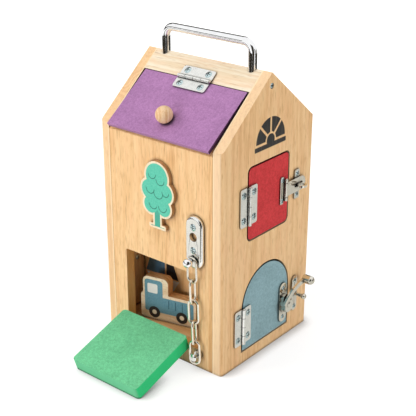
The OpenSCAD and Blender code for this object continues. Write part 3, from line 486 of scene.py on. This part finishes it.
def inner_wood():
    g = Graph("wood_inner")
    colour, height, fibre = wood_colour(g, Z, X, 29.0)
    x, _, z = g.split(g.place.outputs["Object"])
    mast, deck = -38.5 * MM, 60.5 * MM
    gap = 1.2 * MM
    foot = g.half(x, z, 0.0, deck + gap, 0.0, -1.0)
    big_sail = g.both(foot, g.half(x, z, mast - gap, deck, 1.0, 0.0),
                      g.half(x, z, mast - 31.0 * MM, deck, -34.0, 12.0))
    small_sail = g.both(foot, g.half(x, z, mast + gap, deck, -1.0, 0.0),
                        g.half(x, z, mast + 20.0 * MM, deck, 34.0, 14.0))
    hull = g.both(g.half(x, z, 0.0, deck, 0.0, 1.0), g.half(x, z, 0.0, deck - 14.0 * MM, 0.0, -1.0),
                  g.half(x, z, mast - 30.0 * MM, deck, -14.0, -9.0),
                  g.half(x, z, mast + 20.0 * MM, deck, 14.0, -8.0))
    outer = g.span(g.dot(g.place.outputs["Normal"], FRONT), 0.6, 0.8)
    worn = g.span(fibre, 0.3, 0.42, 0.9, 1.0)
    for figure, paint in ((hull, srgb(240, 240, 242)), (big_sail, srgb(84, 122, 148)),
                          (small_sail, srgb(40, 38, 40))):
        colour = g.mix(g.times(g.times(g.ink(figure), outer), worn), colour, paint)
    return finish_wood(g, colour, height, fibre)


# Plaque: a tree printed on cut plywood, with a bare rim and a singed edge

PRINT_SPECKS = 700.0
CREAM = srgb(247, 234, 208)
SINGED = srgb(178, 130, 84)


def plaque_wood():
    g = Graph("printed_tree")
    low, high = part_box("front_plaque")
    w, h = high.x - low.x, high.z - low.z
    cx, foot = (low.x + high.x) / 2, low.z
    x, _, z = g.split(g.place.outputs["Object"])
    x = g.add(x, -cx)
    z = g.add(z, -foot)
    crown = [(0.0, h - 0.37 * w, 0.37 * w), (0.0, 0.5 * h, 0.3 * w)]
    for s in (-1, 1):
        crown.append((s * 0.21 * w, 0.56 * h, 0.29 * w))
        crown.append((s * 0.19 * w, 0.34 * h, 0.25 * w))
    leaves = g.union(*[g.disc(x, z, *c) for c in crown])
    trunk = g.block(x, z, 0.0, 0.2 * h, 0.13 * w, 0.2 * h)
    root = g.block(x, z, 0.0, 0.035 * h, 0.25 * w, 0.035 * h, 0.025 * h)
    grain, height, fibre = wood_colour(g, Z, X, 31.0, pale=CREAM, mid=srgb(243, 226, 196),
                                       dark=srgb(232, 208, 172))
    rim = 2.3 * MM
    speck = g.noise(g.place.outputs["Object"], PRINT_SPECKS, 2.0)
    teal = g.mix(g.span(speck, 0.35, 0.7), srgb(78, 188, 160), srgb(98, 200, 174))
    bark = g.mix(g.span(speck, 0.35, 0.7), srgb(60, 160, 138), srgb(74, 172, 150))
    colour = g.mix(g.ink(g.add(g.union(trunk, root), rim)), grain, bark)
    colour = g.mix(g.ink(g.add(leaves, rim)), colour, teal)
    line = 0.42 * MM
    scallops = [(-0.14, 0.80, 0.11), (0.10, 0.74, 0.12), (-0.20, 0.58, 0.12), (0.04, 0.54, 0.13),
                (0.25, 0.58, 0.10), (-0.12, 0.36, 0.12), (0.16, 0.35, 0.12)]
    for sx, sz, sr in scallops:
        ring = g.add(g.math("ABSOLUTE", g.disc(x, z, sx * w, sz * h, sr * w)), -line)
        arc = g.both(ring, g.add(z, -sz * h))
        colour = g.mix(g.ink(g.both(arc, g.add(leaves, rim + MM)), 0.2 * MM), colour, srgb(34, 106, 92))
    face = g.span(g.math("ABSOLUTE", g.dot(g.place.outputs["Normal"], BACK)), 0.5, 0.8)
    ply = g.noise(g.stretch(g.place.outputs["Object"], (60.0, 900.0, 60.0)), 1.0, 2.0)
    edge = g.mix(g.span(ply, 0.35, 0.65), SINGED, srgb(208, 164, 116))
    colour = g.mix(face, edge, colour)
    return finish_wood(g, colour, height, fibre, PRINT_ROUGH)


# Play block: a small truck printed in slate blue on pale wood

BLOCK_TURN = math.radians(14)


def block_wood():
    g = Graph("printed_truck")
    grain, height, fibre = wood_colour(g, X, Z, 37.0, pale=CREAM, mid=srgb(241, 220, 186),
                                       dark=srgb(224, 194, 152))
    low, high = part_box("play_block")
    turn = BLOCK_TURN
    cx, cy = (low.x + high.x) / 2, (low.y + high.y) / 2
    foot = low.z
    px, py, z = g.split(g.place.outputs["Object"])
    dx = g.add(px, -cx)
    dy = g.add(py, -cy)
    x = g.add(g.times(dx, math.cos(turn)), g.times(dy, math.sin(turn)))
    z = g.add(z, -foot)
    speck = g.noise(g.place.outputs["Object"], PRINT_SPECKS, 2.0)
    slate = g.mix(g.span(speck, 0.35, 0.7), srgb(92, 142, 160), srgb(110, 158, 174))
    dark = srgb(36, 36, 38)
    body = g.block(x, z, 1.0 * MM, 20.0 * MM, 31.0 * MM, 10.0 * MM, 2.5 * MM)
    cab = g.block(x, z, -18.5 * MM, 36.0 * MM, 11.5 * MM, 14.5 * MM, 4.0 * MM)
    pane = g.block(x, z, -20.0 * MM, 39.5 * MM, 6.5 * MM, 6.0 * MM, 2.0 * MM)
    colour = g.mix(g.ink(g.union(body, cab)), grain, slate)
    colour = g.mix(g.ink(pane), colour, srgb(236, 236, 230))
    for wx in (-18.0, 17.0):
        colour = g.mix(g.ink(g.disc(x, z, wx * MM, 9.5 * MM, 7.2 * MM)), colour, dark)
        colour = g.mix(g.ink(g.disc(x, z, wx * MM, 9.5 * MM, 2.9 * MM)), colour, CREAM)
    for k in range(4):
        plank = g.block(x, z, (0.5 + 8.6 * k) * MM, 22.5 * MM, 0.45 * MM, 5.4 * MM)
        colour = g.mix(g.ink(plank, 0.2 * MM), colour, srgb(52, 86, 102))
    flat = g.math("ABSOLUTE", g.dot(g.place.outputs["Normal"], (-math.sin(turn), math.cos(turn), 0.0)))
    face = g.span(flat, 0.5, 0.8)
    ply = g.noise(g.stretch(g.place.outputs["Object"], (120.0, 420.0, 60.0)), 1.0, 2.0)
    edge = g.mix(g.span(ply, 0.35, 0.65), srgb(190, 146, 98), srgb(220, 180, 132))
    colour = g.mix(face, edge, colour)
    return finish_wood(g, colour, height, fibre, PRINT_ROUGH)


# Boards, with the slopes of the lid and the lying drop door taken from their boxes

lid_low, lid_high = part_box("roof_lid")
LID_SLOPE = math.atan2(lid_high.z - lid_low.z, lid_high.y - lid_low.y)
door_low, door_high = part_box("drop_door")
DROP_SLOPE = math.atan2(door_high.z - door_low.z, door_high.y - door_low.y)

# The lid's left and right edges are a dark purple painted shade, for the gaps beside the gables
purple = dyed("purple_board", srgb(168, 120, 168), srgb(160, 114, 150),
              (0.0, -math.sin(LID_SLOPE), math.cos(LID_SLOPE)), 0.0, side=srgb(78, 46, 78))
green = dyed("green_board", srgb(107, 196, 145), srgb(102, 193, 144),
             (0.0, -math.sin(DROP_SLOPE), math.cos(DROP_SLOPE)), 2.0, side=srgb(41, 199, 123))
red = dyed("red_board", srgb(202, 44, 48), srgb(146, 30, 36), RIGHT, 4.0)
blue = dyed("blue_board", srgb(136, 169, 176), srgb(88, 118, 128), RIGHT, 6.0)


# Dressing of the nodes: material, edge rounding

ROUND_WOOD = 0.7 * MM
ROUND_BOARD = 1.0 * MM
ROUND_DROP = 1.6 * MM
ROUND_PLAQUE = 0.5 * MM
ROUND_BLOCK = 0.8 * MM
ROUND_METAL = 0.25 * MM
ROUND_STEPS = 3
SHARP = math.radians(38)
WELD = 0.002 * MM
FACE_WEIGHT = 60

looks = {
    "left_gable": (left_wood, ROUND_WOOD),
    "right_gable": (right_wood, ROUND_WOOD),
    "front_panel": (house_front, ROUND_WOOD),
    "back_panel": (house_back, ROUND_WOOD),
    "base_board": (floor_wood, ROUND_WOOD),
    "lower_floor": (floor_wood, ROUND_WOOD),
    "upper_floor": (floor_wood, ROUND_WOOD),
    "inner_wall": (inner_wood(), ROUND_WOOD),
    "ridge_beam": (beam_wood, ROUND_WOOD),
    "rear_roof_panel": (roof_wood, ROUND_WOOD),
    "lid_knob": (knob_wood, 0.0),
    "roof_lid": (purple, ROUND_BOARD),
    "drop_door": (green, ROUND_DROP),
    "square_door": (red, ROUND_BOARD),
    "arch_door": (blue, ROUND_BOARD),
    "front_plaque": (plaque_wood(), ROUND_PLAQUE),
    "play_block": (block_wood(), ROUND_BLOCK),
    "carry_handle": (chrome, 0.0),
    "chain_stud": (chrome, 0.0),
}
for name in ("latch_base", "latch_lever", "latch_pivot", "keeper", "hasp_base", "hasp_leaf", "hasp_pin",
             "staple_plate", "swivel_staple"):
    looks[name] = (lock_steel, ROUND_METAL)
slot_of = {s["node"]: s["material_slot"] for s in frame["record"]["subparts"]}

for name, piece in nodes.items():
    if name in looks:
        material, rounding = looks[name]
    elif slot_of.get(name) == "screw_zinc":
        material, rounding = zinc, 0.0
    else:
        wire = name.startswith("chain_link")
        material, rounding = (chain, 0.0) if wire else (plated, ROUND_METAL)
    piece.data.materials.clear()
    piece.data.materials.append(material)
    for face in piece.data.polygons:
        face.use_smooth = True
    weld = piece.modifiers.new("weld", "WELD")
    weld.merge_threshold = WELD
    if not rounding:
        crisp = piece.modifiers.new("crisp", "EDGE_SPLIT")
        crisp.split_angle = SHARP
        crisp.use_edge_sharp = False
    else:
        bevel = piece.modifiers.new("rounding", "BEVEL")
        bevel.width = rounding
        bevel.segments = ROUND_STEPS
        bevel.limit_method = "ANGLE"
        bevel.angle_limit = SHARP
        bevel.use_clamp_overlap = True
    shade = piece.modifiers.new("shading", "WEIGHTED_NORMAL")
    shade.keep_sharp = False
    shade.weight = FACE_WEIGHT


# Stage: a white sweep of floor that keeps a soft shadow, and soft studio light

def seen(tree):
    """1 for what the camera sees, straight, in a reflection or through a pane, and 0 for other rays."""
    rays = tree.nodes.new("ShaderNodeLightPath")
    either = rays.outputs["Is Camera Ray"]
    for name in ("Is Glossy Ray", "Is Transmission Ray"):
        most = tree.nodes.new("ShaderNodeMath")
        most.operation = "MAXIMUM"
        tree.links.new(either, most.inputs[0])
        tree.links.new(rays.outputs[name], most.inputs[1])
        either = most.outputs[0]
    return either


def stage_material(name):
    material = bpy.data.materials.new(name)
    material.use_nodes = True
    material.node_tree.nodes.clear()
    return material, material.node_tree


def two_looks(tree, unseen, shown, output):
    """One shader for the light that bounces about, and another for what the camera sees."""
    choose = tree.nodes.new("ShaderNodeMixShader")
    tree.links.new(seen(tree), choose.inputs[0])
    tree.links.new(unseen.outputs[0], choose.inputs[1])
    tree.links.new(shown.outputs[0], choose.inputs[2])
    out = tree.nodes.new(output)
    tree.links.new(choose.outputs[0], out.inputs["Surface"])


def remap(tree, value, low, high, top):
    """0 where the value is low, rising to top where it is high."""
    n = tree.nodes.new("ShaderNodeMapRange")
    for name, v in (("From Min", low), ("From Max", high), ("To Min", 0.0), ("To Max", top)):
        n.inputs[name].default_value = v
    tree.links.new(value, n.inputs["Value"])
    return n.outputs["Result"]


def sky(tree, tint, strength):
    n = tree.nodes.new("ShaderNodeBackground")
    n.inputs["Color"].default_value = tint + (1.0,)
    n.inputs["Strength"].default_value = strength
    return n


def diffuse(tree, tone):
    n = tree.nodes.new("ShaderNodeBsdfDiffuse")
    n.inputs["Color"].default_value = (tone, tone, tone, 1.0)
    return n


def stage_mesh(name, corners, faces, material):
    data = bpy.data.meshes.new(name)
    data.from_pydata(corners, [], faces)
    data.materials.append(material)
    o = bpy.data.objects.new(name, data)
    bpy.context.scene.collection.objects.link(o)
    return o


def flat_card(name, low, high, z, material):
    """A level rectangle from one corner to the other, in metres."""
    (x0, y0), (x1, y1) = low, high
    corners = [(x0, y0, z), (x1, y0, z), (x1, y1, z), (x0, y1, z)]
    return stage_mesh(name, corners, [(0, 1, 2, 3)], material)


WHITE = (1.0, 1.0, 1.0)
WARM_WHITE = (1.0, 0.985, 0.96)
SOFT_LIGHT = 0.28

world = bpy.data.worlds.new("studio")
bpy.context.scene.world = world
world.use_nodes = True
world.node_tree.nodes.clear()
two_looks(world.node_tree, sky(world.node_tree, WARM_WHITE, SOFT_LIGHT), sky(world.node_tree, WHITE, 1.0),
          "ShaderNodeOutputWorld")


# Floor: it glows white by itself, whiter far off, and dimmer near the part as a painted shadow; its matt
# share also takes the lamps' real shadow

FLOOR_HALF = 6.0
FLOOR_GLOW = 0.745
FLOOR_TONE = 0.36
FLOOR_BOUNCE = 0.82
SHADE_SAMPLES = 12
SHADE_REACH = 18 * MM
SHADE_FULL = 0.14
SHADE_NONE = 0.82
SHADE_LEAN = Vector((-0.45, -0.37, 0.81)).normalized()
WHITE_FROM = 0.4
WHITE_AT = 1.6


def floor_look():
    material, tree = stage_material("white_floor")
    lean = tree.nodes.new("ShaderNodeCombineXYZ")
    for socket, part in zip(lean.inputs, SHADE_LEAN):
        socket.default_value = part
    near = tree.nodes.new("ShaderNodeAmbientOcclusion")
    near.samples = SHADE_SAMPLES
    near.inputs["Distance"].default_value = SHADE_REACH
    tree.links.new(lean.outputs[0], near.inputs["Normal"])
    place = tree.nodes.new("ShaderNodeTexCoord")
    away = tree.nodes.new("ShaderNodeVectorMath")
    away.operation = "LENGTH"
    tree.links.new(place.outputs["Object"], away.inputs[0])
    # Painted shadow: the glow dims where the part crowds the floor, leaning away from the key lamp
    glow_less_painted_shadow = remap(tree, near.outputs["AO"], SHADE_FULL, SHADE_NONE, FLOOR_GLOW)
    far_glow = remap(tree, away.outputs["Value"], WHITE_FROM, WHITE_AT, 1.0 - FLOOR_GLOW)
    level = tree.nodes.new("ShaderNodeMath")
    tree.links.new(glow_less_painted_shadow, level.inputs[0])
    tree.links.new(far_glow, level.inputs[1])
    glow = tree.nodes.new("ShaderNodeEmission")
    tree.links.new(level.outputs[0], glow.inputs["Strength"])
    shown = tree.nodes.new("ShaderNodeAddShader")
    tree.links.new(diffuse(tree, FLOOR_TONE).outputs[0], shown.inputs[0])
    tree.links.new(glow.outputs[0], shown.inputs[1])
    two_looks(tree, diffuse(tree, FLOOR_BOUNCE), shown, "ShaderNodeOutputMaterial")
    return material


flat_card("floor", (-FLOOR_HALF, -FLOOR_HALF), (FLOOR_HALF, FLOOR_HALF), 0, floor_look())


# Dark, grey and pale cards round the set, which the metal mirrors and nothing else sees

def flag_material(name, tone):
    material, tree = stage_material(name)
    out = tree.nodes.new("ShaderNodeOutputMaterial")
    dull = tree.nodes.new("ShaderNodeEmission")
    dull.inputs["Color"].default_value = tone
    tree.links.new(dull.outputs[0], out.inputs["Surface"])
    return material


dark_flag = flag_material("dark_flag", (0.030, 0.026, 0.020, 1.0))
white_flag = flag_material("white_flag", (0.93, 0.91, 0.86, 1.0))
pale_flag = flag_material("pale_flag", (0.68, 0.675, 0.63, 1.0))
grey_flag = flag_material("grey_flag", (0.36, 0.345, 0.315, 1.0))


def only_mirrored(o):
    o.visible_camera = False
    o.visible_diffuse = False
    o.visible_shadow = False
    o.visible_transmission = False


FLAG_STEPS = 8
FLAG_FOOT = 2 * MM
MAT_AT = 1 * MM


def flag(name, turn, half_turn, far, low, high, material):
    """A bowed card. turn, its bearing as a camera's azimuth, and half_turn are degrees, the rest metres."""
    corners = []
    faces = []
    for k in range(FLAG_STEPS + 1):
        a = math.radians(turn - half_turn + 2 * half_turn * k / FLAG_STEPS)
        corners += [(far * math.sin(a), -far * math.cos(a), z) for z in (low, high)]
        if k:
            faces.append((2 * k - 2, 2 * k - 1, 2 * k + 1, 2 * k))
    only_mirrored(stage_mesh(name, corners, faces, material))


def mat(name, low, high, material):
    """A card that lies on the floor."""
    only_mirrored(flat_card(name, low, high, MAT_AT, material))


flag("flag_front", 50.0, 26.0, 0.62, FLAG_FOOT, 0.80, dark_flag)
flag("flag_rim_front", -40.0, 62.0, 0.69, 0.085, 0.19, dark_flag)
flag("flag_rim_back", 190.0, 80.0, 0.69, 0.085, 0.19, dark_flag)
flag("flag_left", -60.0, 26.0, 1.5, 0.28, 0.62, dark_flag)
flag("flag_left_back", -120.0, 34.0, 1.6, 0.55, 2.0, dark_flag)
flag("flag_right", 98.0, 10.0, 1.2, FLAG_FOOT, 0.70, dark_flag)
flag("flag_far_right", 142.0, 28.0, 0.78, FLAG_FOOT, 0.40, grey_flag)
mat("mat_right", (0.09, -0.08), (0.75, 0.75), pale_flag)
mat("mat_front", (-0.60, -0.68), (0.08, -0.10), white_flag)
mat("mat_corner", (0.10, -0.62), (0.45, -0.31), dark_flag)


# Lamps, all turned to the middle of the house

MIDDLE = Vector((0.0, 0.0, 0.16))


def lamp(name, at, width, power, tint=WHITE):
    data = bpy.data.lights.new(name, "AREA")
    data.shape = "SQUARE"
    data.size = width
    data.energy = power
    data.color = tint
    o = bpy.data.objects.new(name, data)
    o.location = at
    o.rotation_euler = (MIDDLE - Vector(at)).to_track_quat("-Z", "Y").to_euler()
    o.visible_glossy = False
    bpy.context.scene.collection.objects.link(o)


lamp("key", (-1.3, -1.35, 1.35), width=1.2, power=23.4, tint=WARM_WHITE)
lamp("front", (-0.12, -1.95, 0.32), width=0.6, power=11.2)
lamp("top", (0.0, -0.1, 1.9), width=1.3, power=10.6)
lamp("side", (1.65, 0.6, 0.75), width=1.0, power=13.2)
lamp("back", (-0.9, 1.5, 1.1), width=1.2, power=9.0)
